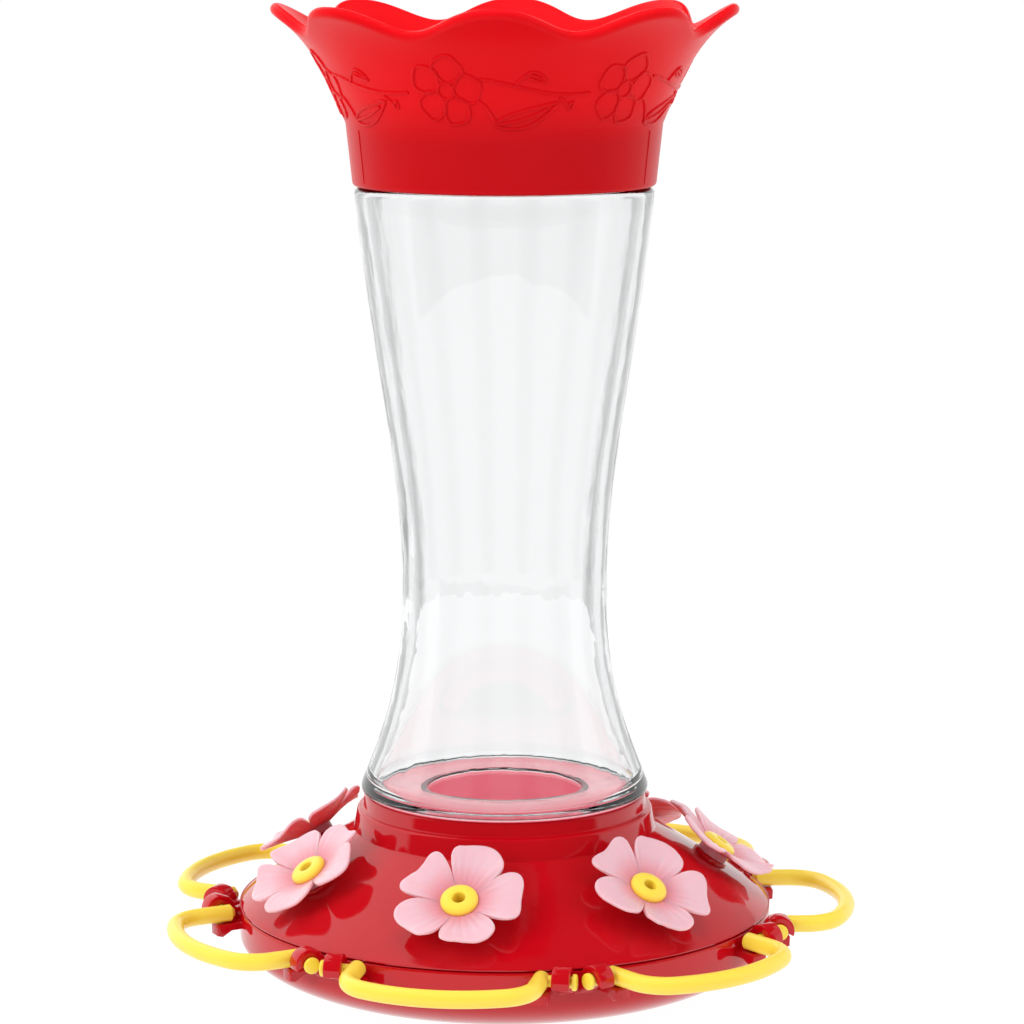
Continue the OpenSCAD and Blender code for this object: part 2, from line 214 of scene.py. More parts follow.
def object_noise(tree, size, detail, stretch=(1, 1, 1)):
    """Noise on the object's own coordinates, with blobs of about the given size in millimetres."""
    place = tree.add("ShaderNodeTexCoord", out="Object")
    place = tree.add("ShaderNodeMapping", {"Vector": place, "Scale": stretch})
    return tree.add("ShaderNodeTexNoise", {
        "Vector": place, "Scale": 1 / (size * MM), "Detail": detail}, "Fac")


def mixed(tree, factor, one, two):
    """A colour between two others."""
    return tree.add("ShaderNodeMix", {
        "Factor_Float": factor, "A_Color": one, "B_Color": two}, "Result_Color", data_type="RGBA")


def bumped(tree, height, distance):
    """A normal from a height field; distance is the height of a full step, in millimetres."""
    return tree.add("ShaderNodeBump", {
        "Height": height, "Distance": distance * MM, "Strength": 1.0}, "Normal")


def ramp(tree, value, start, end):
    """A soft step: 0 before start and 1 after end."""
    return tree.add("ShaderNodeMapRange", {"Value": value, "From Min": start, "From Max": end}, "Result",
                    interpolation_type="SMOOTHSTEP")


def object_place(tree):
    """Radius from the feeder's axis and height above its foot, both in millimetres."""
    x = tree.add("ShaderNodeSeparateXYZ", {"Vector": tree.add("ShaderNodeTexCoord", out="Object")})
    y, z = tree.other(x, "Y"), tree.other(x, "Z")
    return (x * x + y * y).math("SQRT") / MM, z / MM


# %% Moulded plastic
# The size in millimetres and the detail of the colour's drift, the grain and the finest grain
plastic_blobs = [(34, 3), (5, 4), (0.7, 3)]


def moulded(name, colour, deep, roughness, uneven, wave, inside=None, painted_shade=None, **fixed):
    """Moulded plastic: two close colours, an uneven gloss and a faint wave. Inside is the share of the
    light that goes into the plastic, and how far its red, green and blue travel there, in metres. A painted
    shade is a third, darker colour and its share, mixed in where less light falls. What changes over the
    surface comes as a function of the tree."""
    material, tree, shader = new_material(name)
    drift, grain, fine = [object_noise(tree, *blobs) for blobs in plastic_blobs]
    base = mixed(tree, drift, (*deep, 1), (*colour, 1))
    if painted_shade:
        base = mixed(tree, painted_shade[1](tree), base, (*painted_shade[0], 1))
    if inside:
        fixed.update(Subsurface_Weight=inside[0], Subsurface_Radius=inside[1], Subsurface_Scale=1.0)
    dress(tree, shader,
          Base_Color=base,
          Roughness=roughness + uneven * (0.7 * drift + 0.3 * grain - 0.5),
          Normal=bumped(tree, 0.75 * drift + 0.2 * grain + 0.05 * fine, wave),
          **{socket: value(tree) if callable(value) else value for socket, value in fixed.items()})
    return material


# %% [markdown]
# ### The reds
# The base is glossy and deep, and the crown is satin and brighter, because light shines through its thin
# bell. Where two of its walls lie one behind the other, less light comes through, so the skirt's red is
# darkened as painted shade. A single red for both would be simpler, but then the feeder looks as if it
# were cast in one piece.

# %% Two reds
skirt_dark_to = 12
skirt_dark_end = 27


def skirt_shade(tree):
    """Painted shade: 1 on the crown's skirt, where two walls lie one behind the other, and 0 on its bell.
    """
    _, height = object_place(tree)
    return 1 - ramp(tree, height, crown_z + skirt_dark_to, crown_z + skirt_dark_end)


def glossy_red(name, **more):
    return moulded(name, (0.54, 0.002, 0.008), (0.49, 0.002, 0.007), 0.06, 0.03, 0.10,
                   inside=(0.04, (0.004, 0.0005, 0.0005)), **more)


deep_red = glossy_red("glossy_deep_red")
# The crown's skirt gets a darker red as painted shade, where two walls let less light through.
bright_red = moulded("satin_bright_red", (0.80, 0.004, 0.009), (0.75, 0.003, 0.007), 0.32, 0.08, 0.12,
                     inside=(0.15, (0.005, 0.0005, 0.0005)), painted_shade=((0.57, 0.003, 0.007), skirt_shade),
                     Specular_IOR_Level=0.08)


# %% Pink, yellow and silicone
def hub_shade(tree):
    """Painted shade: most at a flower's hub, and 0 from halfway out."""
    share = tree.add("ShaderNodeAttribute", out="Fac", attribute_name="petal_share")
    return 0.8 - 0.8 * ramp(tree, share, 0.02, 0.62)


# Towards each hub the pink is mixed with a deeper pink, as painted shade.
pink = moulded("petal_pink", (0.95, 0.54, 0.60), (0.92, 0.47, 0.53), 0.34, 0.10, 0.10,
               inside=(0.6, (0.006, 0.0018, 0.0015)), painted_shade=((0.85, 0.22, 0.28), hub_shade))
yellow = moulded("perch_yellow", (0.98, 0.75, 0.08), (0.97, 0.70, 0.06), 0.32, 0.10, 0.10,
                 inside=(0.12, (0.003, 0.0018, 0.0004)), Coat_Weight=0.2, Coat_Roughness=0.15)
seal_rubber = moulded("seal_silicone", (0.62, 0.61, 0.58), (0.54, 0.53, 0.51), 0.62, 0.12, 0.12)

# %% [markdown]
# ### The red under the glass
# Under the bottle's foot the base looks lighter, because daylight reaches it through the glass. The
# renderer's shadow rays stop at glass, so that light is missing. Caustics would bring it, at the price of
# long and noisy renders. The cover's finish adds it instead, as a faint glow that only the part under the
# foot has.


# %% Red with daylight on it
lit_r = 40.0
lit_z = 36.5


def daylight_through_glass(tree):
    """The glow where the cover lies under the bottle's foot and in the socket, and black elsewhere."""
    radius, height = object_place(tree)
    under_foot = (1 - ramp(tree, radius, lit_r, lit_r + 0.4)) * ramp(tree, height, lit_z, lit_z + 1)
    return mixed(tree, under_foot, (0, 0, 0, 1), (0.80, 0.16, 0.22, 1))


lit_red = glossy_red("glossy_red_cover", Emission_Strength=0.85, Emission_Color=daylight_through_glass)

# %% [markdown]
# ### The glass
# Pressed glass is clear and a little wavy, because the mould leaves slow ripples in it. The ripples could
# be cut into the mesh, but they are far lower than its facets, so a bump serves better. A volume that
# swallows some light greys the thick places, such as the heel and the edges.


# %% Clear glass
def clear_glass():
    material, tree, shader = new_material("pressed_glass")
    output = tree.last
    wave = object_noise(tree, 26, 1.5, (1, 1, 0.55))
    ripple = object_noise(tree, 7, 2.0, (1, 1, 0.4))
    dress(tree, shader, Base_Color=(0.99, 0.995, 0.995, 1), Roughness=0.0, IOR=1.5, Transmission_Weight=1.0,
          Normal=bumped(tree, 0.8 * wave + 0.2 * ripple, 0.35))
    depth = tree.add("ShaderNodeVolumeAbsorption", {"Color": (0.62, 0.64, 0.66, 1), "Density": 34.0})
    tree.plug(output.inputs["Volume"], depth)
    return material


glass = clear_glass()
print("finishes:", [m.name for m in bpy.data.materials])

# %% [markdown]
# ## Turned pieces
# The bowl, the cover, the bottle and the ports are round, so each is one outline turned about an axis.
# The Spin tool or a Screw modifier would do it, but a short function gives full control: an outline has
# only the corners that its shape needs, each with its own rounding, and a point on the axis becomes one
# closed pole.


# %% Outlines
def curve(a, b, c, d, n=20):
    """Points along a smooth curve from a to d, pulled towards b and c."""
    points = []
    for k in range(n + 1):
        t = k / n
        s = 1 - t
        weights = (s ** 3, 3 * s * s * t, 3 * s * t * t, t ** 3)
        points.append(tuple(sum(w * p[axis] for w, p in zip(weights, (a, b, c, d))) for axis in (0, 1)))
    return points


def arc(x, y, r, start, end, steps):
    """Points along an arc, with its angles in degrees."""
    angles = [math.radians(start + (end - start) * k / steps) for k in range(steps + 1)]
    return [(x + r * math.cos(a), y + r * math.sin(a)) for a in angles]


def rounded(corners, steps=5):
    """Rounds the corners of a closed outline. A corner is radius and height, and may have a rounding."""
    points = []
    for k, corner in enumerate(corners):
        here = Vector(corner[:2])
        if len(corner) == 2:
            points.append(tuple(here))
            continue
        back = (Vector(corners[k - 1][:2]) - here).normalized()
        on = (Vector(corners[(k + 1) % len(corners)][:2]) - here).normalized()
        half = math.acos(max(-1, min(1, back.dot(on)))) / 2
        middle = here + (back + on).normalized() * corner[2] / math.sin(half)
        start = here + back * corner[2] / math.tan(half) - middle
        end = here + on * corner[2] / math.tan(half) - middle
        first = math.degrees(math.atan2(start.y, start.x))
        sweep = math.degrees(math.atan2(start.x * end.y - start.y * end.x, start.dot(end)))
        points += arc(*middle, corner[2], first, first + sweep, steps)
    return points


# %% From points to a mesh
def skin(form, rings):
    """Faces between each ring of points and the next, and between the last and the first. At a pole all
    points of a ring are the same one, so those faces have fewer corners."""
    for ring, after in zip(rings, rings[1:] + rings[:1]):
        for k in range(len(ring)):
            on = (k + 1) % len(ring)
            corners = [ring[k], ring[on], after[on], after[k]]
            corners = [v for n, v in enumerate(corners) if v not in corners[:n]]
            if len(corners) > 2:
                form.faces.new(corners)


def point(form, r, angle, z):
    """A new point of a form, at a radius, an angle and a height in millimetres."""
    return form.verts.new((r * MM * math.cos(angle), r * MM * math.sin(angle), z * MM))


def finished(form, name, outwards=True):
    """Turns the faces outwards and keeps the form as a mesh."""
    if outwards:
        bmesh.ops.recalc_face_normals(form, faces=form.faces)
    mesh = bpy.data.meshes.new(name)
    form.to_mesh(mesh)
    form.free()
    return mesh


def turned(points, steps=256):
    """Turns a closed outline of (radius, height) points about the Z axis into a closed mesh."""
    form = bmesh.new()
    angles = [math.tau * k / steps for k in range(steps)]
    rings = []
    for r, z in points:
        pole = r < 1e-6
        rings.append([point(form, 0, 0, z)] * steps if pole else [point(form, r, a, z) for a in angles])
    skin(form, rings)
    return finished(form, "turned")


def merged(*meshes):
    """Several meshes as one."""
    form = bmesh.new()
    for mesh in meshes:
        form.from_mesh(mesh)
    return finished(form, "merged", outwards=False)


# %% From a mesh to a piece
def piece(name, mesh, finish=None):
    """Puts a mesh into the scene as an object at the origin."""
    mesh.name = name
    if finish:
        mesh.materials.append(finish)
    made = bpy.data.objects.new(name, mesh)
    bpy.context.scene.collection.objects.link(made)
    return made


def sharpened(mesh, angle=38):
    """Smooth shading with crisp edges where the surface really turns a corner."""
    mesh.shade_smooth()
    mesh.set_sharp_from_angle(angle=math.radians(angle))
    return mesh


def settle(made, body, slot, *nodes):
    """Lets a piece ride on its body and hides the solids that it stands for. The slot is not used."""
    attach(made, body)
    if nodes:
        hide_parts(*nodes)
    print(f"{made.name}: {len(made.data.polygons)} faces on {body}, in place of {len(nodes)} solids")


# %% [markdown]
# ## Growing with Geometry Nodes
# What repeats round the feeder grows in a node tree. `growth` opens a tree with named inputs, and `grown`
# runs it on a starting mesh, takes the finished result as a plain mesh and removes the modifier. A
# modifier's input is set by its socket's identifier, because its name is only a label.


# %% Trees that grow a mesh
def growth(name, **sizes):
    """A geometry tree with named number inputs. Returns the tree and its fields by name."""
    group = bpy.data.node_groups.new(name, "GeometryNodeTree")
    group.interface.new_socket("Geometry", in_out="INPUT", socket_type="NodeSocketGeometry")
    for size in sizes:
        group.interface.new_socket(size, in_out="INPUT", socket_type="NodeSocketFloat")
    group.interface.new_socket("Geometry", in_out="OUTPUT", socket_type="NodeSocketGeometry")
    tree = Tree(group)
    tree.sizes = sizes
    start = tree.add("NodeGroupInput")
    return tree, {"start": start, **{size: tree.other(start, size) for size in sizes}}


def finish_growth(tree, geometry, finish):
    """Ends a tree in Realize Instances and Set Material, as the export needs."""
    real = tree.add("GeometryNodeRealizeInstances", {"Geometry": geometry})
    done = tree.add("GeometryNodeSetMaterial", {"Geometry": real, "Material": finish})
    tree.add("NodeGroupOutput", {0: done})


def grown(name, start, tree):
    """Runs a tree on a starting mesh and keeps the result as a plain mesh piece."""
    carrier = bpy.data.objects.new(name + "_carrier", start)
    bpy.context.scene.collection.objects.link(carrier)
    modifier = carrier.modifiers.new("growth", "NODES")
    modifier.node_group = tree.nodes
    for item in tree.nodes.interface.items_tree:
        if item.in_out == "INPUT" and item.name in tree.sizes:
            modifier[item.identifier] = float(tree.sizes[item.name])
    evaluated = carrier.evaluated_get(bpy.context.evaluated_depsgraph_get())
    mesh = bpy.data.meshes.new_from_object(evaluated)
    bpy.data.objects.remove(carrier)
    finish = mesh.materials[-1]
    mesh.materials.clear()
    return piece(name, mesh, finish)


# %% What a tree needs from outside
sources = []


def source(tree, name, mesh):
    """Brings a mesh into a tree, on an unlinked object that is removed at the end of the script."""
    sources.append(bpy.data.objects.new(name, mesh))
    return tree.add("GeometryNodeObjectInfo", {"Object": sources[-1]}, "Geometry")


def laid(lines, on):
    """Chains of edges for lines whose points a function turns into places in millimetres."""
    spots, edges = [], []
    for line in lines:
        first = len(spots)
        spots += [tuple(c * MM for c in on(*place)) for place in line]
        edges += [(k, k + 1) for k in range(first, len(spots) - 1)]
    mesh = bpy.data.meshes.new("lines")
    mesh.from_pydata(spots, edges, [])
    return mesh


# %% [markdown]
# ### A ring of equal turns
# The clips, the bosses, the ports and the crown's relief all stand at equal turns about the axis. An
# Array modifier would need one more object to turn about. A tree needs none: a line of points counts the
# copies, and each instance is turned by its number.


# %% Rings
def ring_of(tree, repeated, count, first):
    """Copies of a geometry at equal turns about the feeder's axis, the first at its angle in degrees."""
    points = tree.add("GeometryNodeMeshLine", {"Count": count, "Offset": (0, 0, 0)})
    angle = (first + tree.add("GeometryNodeInputIndex") * 360 / count) * (math.pi / 180)
    turned_by = tree.add("ShaderNodeCombineXYZ", {"Z": angle})
    return tree.add("GeometryNodeInstanceOnPoints", {
        "Points": points, "Instance": repeated, "Rotation": turned_by})


def with_ring(name, start, repeated, finish, angle=38):
    """A piece of a starting mesh and one copy of another mesh at each station."""
    tree, fields = growth(name + "_ring", **{"Stations": stations, "First station": first_station})
    repeated = source(tree, name + "_source", repeated)
    ring = ring_of(tree, repeated, fields["Stations"], fields["First station"])
    both = tree.add("GeometryNodeJoinGeometry", {"Geometry": [fields["start"], ring]})
    finish_growth(tree, both, finish)
    made = grown(name, start, tree)
    sharpened(made.data, angle)
    return made


# %% [markdown]
# ## The bowl
# The bowl is one red moulding: a shallow tray whose side sweeps up into an upright band, with a bracket
# between every two stations. A bracket has two hooks that curl over and down in front of a perch's thin
# end, and lower tabs on which the perch comes to rest. The tray is turned. A clip could be carved from a
# cube, but its section says more than its sides do, so it is extruded from that section and bevelled. A
# node tree sets all of them round the rim.

# %% The tray
bowl_h = 20.5
foot_r = 55
bowl_wall = 2.4
band_z = 12.5
ledge_r = 71.5


def bowl_outline():
    outside = curve((foot_r, 0), (foot_r + 13, 1.8), (rim_r, band_z - 5), (rim_r, band_z))
    inside = curve((ledge_r, band_z - 1.8), (ledge_r - 0.7, band_z - 6), (foot_r + 9, bowl_wall + 1),
                   (foot_r - 2, bowl_wall), 14)
    band = [(rim_r, bowl_h, 0.7), (rim_r - bowl_wall, bowl_h, 0.4), (rim_r - bowl_wall, band_z, 0.3),
            (ledge_r, band_z, 0.3)]
    return rounded([(0, 0)] + outside + band + inside + [(0, bowl_wall)])


tray = turned(bowl_outline())

# %% The hinge line and the clips' places
rod_r = 2.45
journal_r = 1.6
hinge_r = rim_r + 0.1
hinge_z = bowl_h - 0.9
hook_w = 5.0
hook_in = journal_r + 0.3
hook_out = hook_in + 2.4
hook_from_middle = 5
lead_from_middle = 10.4


def beside_the_bracket(distance):
    """How far along a station's hinge line something lies that is this far from the bracket's middle."""
    return (hinge_r * math.sin(half_turn) - distance) / math.cos(half_turn)


hook_x = beside_the_bracket(hook_from_middle)
lead_x = beside_the_bracket(lead_from_middle)
print(f"hooks at {hook_x:.1f} and perch ends at {lead_x:.1f} mm from a station's middle")


# %% Sections of a hook and a tab
def hook_section():
    """Section of a hook: outwards along x and up along y, with the hinge line at the origin."""
    root = [(-6.2, -4.4), (-4, -4.4), (-1.9, -3.1)]
    back = [(-2.6, hook_out - 0.6), (-4.2, hook_out - 2.4), (-4.7, 0.3), (-6.2, 0)]
    return root + arc(0, 0, hook_in, 235, -12, 18) + arc(0, 0, hook_out, -20, 104, 16) + back


def tab_section():
    """Section of the tab on which a perch comes to rest, a little under the rod."""
    under = -rod_r - 0.3
    return [(-5.8, under), (3.1, under), (3.6, under - 0.6), (3.5, under - 3.2), (2.0, under - 3.6),
            (-0.8, under - 2.0), (-5.8, under - 1.8)]


# %% Sections made solid
def softened(form, edges, bevel):
    """Rounds edges, as a mould does."""
    bmesh.ops.bevel(form, geom=edges, offset=bevel * MM, segments=3, profile=0.5, affect="EDGES")


def plate(section, middle, bevel):
    """Extrudes a section along the hinge line, rounds its edges and stands it at a station's front."""
    form = bmesh.new()
    half = hook_w / 2 * MM
    sides = [[form.verts.new((x * MM, y * MM, z)) for x, y in section] for z in (-half, half)]
    form.faces.new(reversed(sides[0]))
    form.faces.new(sides[1])
    for k in range(len(section)):
        after = (k + 1) % len(section)
        form.faces.new((sides[0][k], sides[0][after], sides[1][after], sides[1][k]))
    bmesh.ops.recalc_face_normals(form, faces=form.faces)
    softened(form, [e for e in form.edges if abs(e.verts[0].co.z - e.verts[1].co.z) < 1e-6], bevel)
    bmesh.ops.triangulate(form, faces=[f for f in form.faces if len(f.verts) > 4])
    form.transform(Matrix(
        ((0, 0, 1, middle * MM), (-1, 0, 0, -hinge_r * MM), (0, 1, 0, hinge_z * MM), (0, 0, 0, 1))))
    return finished(form, "plate")


def bracket_root(low, high):
    """The bevelled block between two corners that carries a bracket's hooks, half a station round."""
    form = bmesh.new()
    bmesh.ops.create_cube(form, size=1)
    middle = [(a + b) / 2 * MM for a, b in zip(low, high)]
    size = [(b - a) * MM for a, b in zip(low, high)]
    form.transform(Matrix.Translation(middle) @ Matrix.Diagonal((*size, 1)))
    form.transform(Matrix.Rotation(half_turn, 4, "Z"))
    softened(form, form.edges[:], 0.6)
    return finished(form, "root", outwards=False)


# %% Clips round the rim
clips = merged(
    *[plate(hook_section(), side * hook_x, 0.45) for side in (-1, 1)],
    *[plate(tab_section(), side * lead_x, 0.3) for side in (-1, 1)],
    bracket_root((-5, -rim_r - 2.6, hinge_z - 4.8), (5, -rim_r + 1.2, hinge_z - 0.4)))
bowl = with_ring("bowl_tray", tray, clips, deep_red)
settle(bowl, "bowl", "deep_red_plastic", "bowl")

# %% [markdown]
# ## The cover
# The cover is the red shell that slopes from the rim up to a collar. It carries the raised lip that hides
# the seam to the bottle, the socket for the bottle's neck and seven low bosses on which the flowers sit.
# A shell could be a surface with a Solidify modifier, but its wall changes at the collar and the socket,
# so both faces are drawn in one closed outline and turned.

# %% Sizes of the shell
slope_h = 22.5
seam_z = bowl_h + 0.3
collar_r = 44
collar_h = 5.9
collar_z = seam_z + slope_h
shelf_z = collar_z + collar_h
lip_r = 40.8
wall = 2.3
skirt_out = rim_r - bowl_wall - 0.3
skirt_in = skirt_out - 2.9
socket_r = 24.3
gasket_z = 39.3
gasket_r = 19
under_gasket_z = gasket_z - 2
socket_out = socket_r + 2.8

# %% The shell's outline
shell_out = curve((rim_r, seam_z), (rim_r - 0.4, seam_z + 0.05 * slope_h),
                  (collar_r + 22, seam_z + 0.37 * slope_h), (collar_r + 3, collar_z - 2.3), 24)
shell_in = curve((skirt_in, seam_z + wall), (skirt_in - 3, seam_z + 3.6), (collar_r + 18, seam_z + 8.2),
                 (collar_r + 1.7, collar_z - 4.3), 16)


def cover_outline():
    edge = [(skirt_in, cover_low.z, 0.3), (skirt_out, cover_low.z, 0.3), (skirt_out, seam_z),
            (rim_r - 0.5, seam_z), (rim_r, seam_z + 0.5)]
    collar = [(collar_r, collar_z - 0.4, 0.7), (collar_r - 1.2, shelf_z, 1.1), (lip_r + 0.4, shelf_z, 0.7),
              (lip_r, lip_z, 1.1), (lip_r - 3.4, lip_z, 0.9), (lip_r - 3.4, lip_z - 1, 0.3)]
    socket = [(socket_r, lip_z - 1, 0.5), (socket_r, gasket_z, 0.3), (gasket_r, gasket_z, 0.3),
              (gasket_r, under_gasket_z, 0.3), (socket_out, under_gasket_z, 0.4),
              (socket_out, lip_z - 4, 0.4)]
    under = [(lip_r - 2.6, lip_z - 4, 0.4), (lip_r - 2.6, shelf_z - wall, 0.4),
             (collar_r - 3.1, shelf_z - wall, 0.4), (collar_r - wall, collar_z)]
    return rounded(edge + shell_out[1:] + collar + socket + under + shell_in[::-1])


# %% A port's place on the slope
port_r = 60
port_lean = math.radians(35)


def height_on_shell(r):
    """Height of the shell's outer line at a radius."""
    for (r1, z1), (r2, z2) in zip(shell_out, shell_out[1:]):
        if r2 <= r <= r1:
            return z1 + (z2 - z1) * (r1 - r) / (r1 - r2)


port_z = height_on_shell(port_r)
on_slope = Matrix.Translation((0, -port_r * MM, port_z * MM)) @ Matrix.Rotation(port_lean, 4, "X")


def leaning(mesh):
    """Moves a mesh that was made round the Z axis onto the cover's slope at the front."""
    mesh.transform(on_slope)
    return mesh


print(f"port foot at radius {port_r:.0f}, height {port_z:.1f} mm")

# %% The shell with its bosses
boss = leaning(turned(rounded([(3.15, -1.5), (5.5, -1.5), (5.5, 1, 0.5), (3.15, 1, 0.2)]), 48))
cover = with_ring("base_cover", turned(cover_outline()), boss, lit_red)
settle(cover, "cover", "deep_red_plastic", "cover")

# %% [markdown]
# ## The bottle
# The bottle is pressed glass with a waist. The neck that screws into the cover and the stub that carries
# the crown belong to the same shell. Glass only looks like glass when it has a real wall, so a single
# turned face won't do: the outline walks up the outside and down the inside. The floor, the shoulder's
# plate and the neck are thinner than the side, so that they bend the view of the red below no more than
# the real bottle does.

# %% Turned glass
glass_t = 3.4
floor_t = 1.0
plate_t = 1.0
neck_t = 1.5
bottle_foot_r = 41.7
waist_r = 29.6
waist_z = foot_z + 59
mouth_r = 24
stub_r = 28


def glass_line(t):
    """The glass from foot to shoulder, drawn in by t for the inside."""
    low = curve((bottle_foot_r - t, foot_z + 2.3), (bottle_foot_r - t - 7.4, foot_z + 20),
                (waist_r - t, waist_z - 24), (waist_r - t, waist_z), 28)
    high = curve((waist_r - t, waist_z + 3), (waist_r - t, waist_z + 36),
                 (shoulder_r - t - 5.6, shoulder_z - 54), (shoulder_r - t, shoulder_z - 2), 36)
    return low + high


def bottle_outline():
    floor_z, plate_z = foot_z + floor_t, shoulder_z - plate_t
    neck = [(mouth_r - neck_t, mouth_z, 0.8), (mouth_r, mouth_z, 0.8), (mouth_r, foot_z, 0.5)]
    stub = [(shoulder_r, shoulder_z, 1.9), (stub_r, shoulder_z, 0.5), (stub_r, stub_z, 1), (0, stub_z)]
    stub_in = [(0, stub_z - glass_t), (stub_r - glass_t, stub_z - glass_t, 0.8),
               (stub_r - glass_t, plate_z, 0.4), (shoulder_r - glass_t - 0.3, plate_z, 0.9)]
    inside = [p for p in glass_line(glass_t) if foot_z + 2.6 < p[1] < plate_z - 1.5]
    floor = [(bottle_foot_r - glass_t - 1.4, floor_z, 1.0), (mouth_r - neck_t, floor_z, 0.3)]
    heel = [(bottle_foot_r, foot_z, 1.5)]
    return rounded(neck + heel + glass_line(0) + stub + stub_in + inside[::-1] + floor)


glass_mesh = turned(bottle_outline())
glass_mesh.shade_smooth()
bottle = piece("glass_bottle", glass_mesh, glass)
settle(bottle, "bottle", "clear_glass", "bottle", "bottle_neck", "bottle_stub")

# %% [markdown]
# ## The ports
# A port is a yellow dome with a feeding hole, on a neck pressed down through the flower and the cover. A
# squashed sphere with a hole cut in it would leave an edge to repair. Turned like the bottle, the hole is
# part of the outline, and a ring of equal turns sets seven of them.

# %% Seven yellow domes
neck_r = 3
neck_foot = -5.5
feed_r = 1.8
dome_r = 5.3
dome_h = 2.3
dome_z = 4.1


def port_outline():
    dome_top = dome_z + dome_h
    over = curve((dome_r, dome_z + 0.9), (dome_r - 0.1, dome_z + 0.85 * dome_h), (dome_r - 1.7, dome_top),
                 (feed_r + 0.9, dome_top), 10)
    return rounded([(feed_r, neck_foot, 0.2), (neck_r, neck_foot, 0.5), (neck_r, dome_z + 0.1),
                    (dome_r, dome_z + 0.1, 0.3)] + over + [(feed_r, dome_top - 0.1, 0.5)], 3)


nothing = bpy.data.meshes.new("nothing")
ports = with_ring("feeding_ports", nothing, leaning(turned(port_outline(), 40)), yellow, 45)
settle(ports, "cover", "yellow_plastic", *each("port"))

# %% [markdown]
# ## The flowers
# A flower is one thin pink moulding: five petals round a boss, with a slit between two petals. Every
# petal follows the same rule, so it is a formula over the angle and the radius, not a sculpture. The edge
# draws in towards the slits, the blade dips and rises, and one side of each petal curls higher than the
# other, as the real ones do.

# %% The rule of a petal
petals = 5
petal_r = 18.4
slit_r = 6.4
petal_t = 1.1
petal_nose = 0.5
petal_rise = 3.1
petal_curl = 1.7
crease_h = 0.14
bluntness = 6
boss_r = neck_r + 1.6
# Each petal's reach, the curl of its side and of its tip, the place of its wave and how round its end is
petal_habits = [(1.00, 0.9, 0.7, 0.1, 0.02), (0.96, -0.7, -0.5, 0.6, -0.03),
                (0.99, 1.2, 0.2, 0.35, 0.03), (0.97, -1.0, 0.9, 0.8, -0.02),
                (1.00, 0.5, -0.3, 0.5, 0.01)]


def petal_edge(u, habit):
    """Radius of the petal's blunt and wavy edge, with u from -1 at one slit to 1 at the next."""
    reach, _, _, wave, full = habit
    blunt = math.sqrt(max(0, 1 - abs(u) ** bluntness))
    ripple = 0.98 + 0.035 * math.cos(math.tau * (0.8 * u + wave)) + full * math.cos(math.pi * u)
    return slit_r + (reach * petal_r * ripple - slit_r) * blunt


def petal_height(r, u, habit):
    """Height of a petal's upper face: a shallow cup, a curled side and tip, and faint creases."""
    _, side, tip, wave, _ = habit
    q = max(0, (r - boss_r) / (petal_r - boss_r))
    cup = petal_rise * (1.5 * q - 0.5 * q ** 3) - 0.8 * q * q * math.cos(math.pi * u)
    crease = crease_h * math.sin(math.pi * 6 * (u + wave)) * q * max(0, 1 - q) * 4
    return dome_z + cup + petal_curl * side * q * q * u + tip * q ** 3 + crease


def petal_section(u, habit, steps=14):
    """Closed section through the flower: along the upper face, round the edge and back below."""
    tip_r = petal_edge(u, habit) - petal_nose
    radii = [boss_r + (tip_r - boss_r) * k / steps for k in range(steps + 1)]
    over = [(r, petal_height(r, u, habit)) for r in radii]
    under = [(r, z - petal_t) for r, z in over]
    tip_z = petal_height(tip_r, u, habit) - petal_t / 2
    nose = [(tip_r + petal_nose * math.cos(a), tip_z + petal_t / 2 * math.sin(a))
            for a in (math.radians(d) for d in (60, 30, 0, -30, -60))]
    return [(neck_r + 0.1, dome_z)] + over + nose + under[::-1] + [(boss_r, 1), (neck_r + 0.1, 1)]


# %% One flower
def habit_at(petal, u):
    """A petal's habits. Towards a slit they pass into the neighbour's, so that both sides meet there."""
    other = petal_habits[(petal + (1 if u > 0 else -1)) % petals]
    part = 0.5 * abs(u) ** 12
    return [own + (theirs - own) * part for own, theirs in zip(petal_habits[petal], other)]


def flower_mesh(steps=28):
    """The whole flower: sections all the way round, joined into one closed skin. Each point keeps how far
    out on the petal it lies, for the finish to read."""
    form = bmesh.new()
    share = form.verts.layers.float.new("petal_share")
    rings = []
    for petal in range(petals):
        for k in range(steps):
            u = -1 + 2 * k / steps
            u = math.copysign(1 - (1 - abs(u)) ** 1.5, u)
            angle = (petal + (u + 1) / 2) * math.tau / petals
            rings.append([point(form, r, angle, z) for r, z in petal_section(u, habit_at(petal, u))])
            for vertex in rings[-1]:
                vertex[share] = (math.hypot(vertex.co.x, vertex.co.y) / MM - boss_r) / (petal_r - boss_r)
    skin(form, rings)
    return finished(form, "flower")


# %% Seven flowers
# Each flower's own turn about its port, in degrees
flower_turns = [39, 7, 40, 5, 58, 25, 343]


def flower_points():
    """One point for each station that carries how the flower there stands."""
    mesh = bpy.data.meshes.new("flower_points")
    places = [Matrix.Rotation(station_turn(i + 1), 4, "Z") @ on_slope for i in range(stations)]
    mesh.from_pydata([place.translation for place in places], [], [])
    stand = mesh.attributes.new("stand", "FLOAT_VECTOR", "POINT")
    for one, place, turn in zip(stand.data, places, flower_turns):
        one.vector = (place @ Matrix.Rotation(math.radians(turn), 4, "Z")).to_euler()
    return mesh


def kept_value(tree, name, kind="FLOAT"):
    """A value that the starting mesh keeps for its points."""
    return tree.add("GeometryNodeInputNamedAttribute", {"Name": name}, data_type=kind)


flower_tree, flower_fields = growth("flowers_on_the_cover")
on_points = flower_tree.add("GeometryNodeInstanceOnPoints", {
    "Points": flower_fields["start"], "Instance": source(flower_tree, "flower_source", flower_mesh()),
    "Rotation": kept_value(flower_tree, "stand", "FLOAT_VECTOR")})
finish_growth(flower_tree, on_points, pink)
flowers = grown("pink_flowers", flower_points(), flower_tree)
sharpened(flowers.data, 50)
settle(flowers, "cover", "pink_plastic", *each("flower"))

